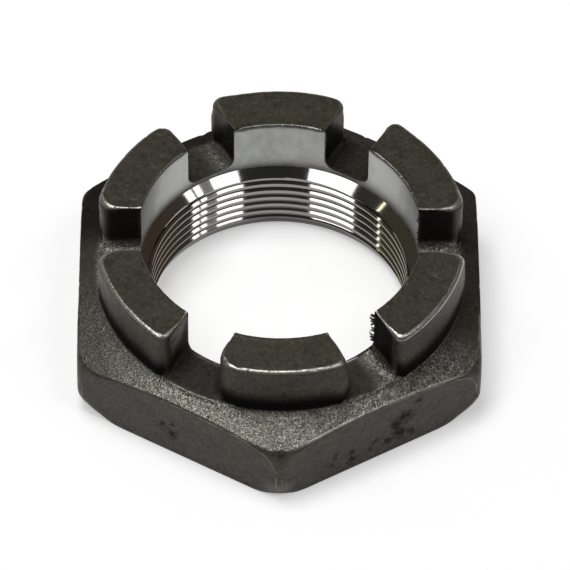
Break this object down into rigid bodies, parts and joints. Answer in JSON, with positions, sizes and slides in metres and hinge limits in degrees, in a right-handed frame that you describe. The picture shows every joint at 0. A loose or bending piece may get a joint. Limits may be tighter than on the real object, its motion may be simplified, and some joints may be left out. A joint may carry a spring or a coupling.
{
  "type": "castle nut",
  "caption": "Forged steel castle nut for an axle end: a hexagon with a slotted crown that a split pin locks, and a fine machined thread.",
  "frame": {"origin": "on the thread's axis in the flat bearing face", "axes": "+Z along the axis, from the bearing face to the crown; a corner of the hexagon points along -Y and a flat along +X"},
  "size_m": [0.06, 0.0686, 0.021],
  "materials": {
    "forged_steel": "dark forging oxide with a rough blasted shoulder; counterbore and thread machined bright"
  },
  "bodies": {
    "root": {"castle_nut": "forged_steel"}
  },
  "joints": []
}
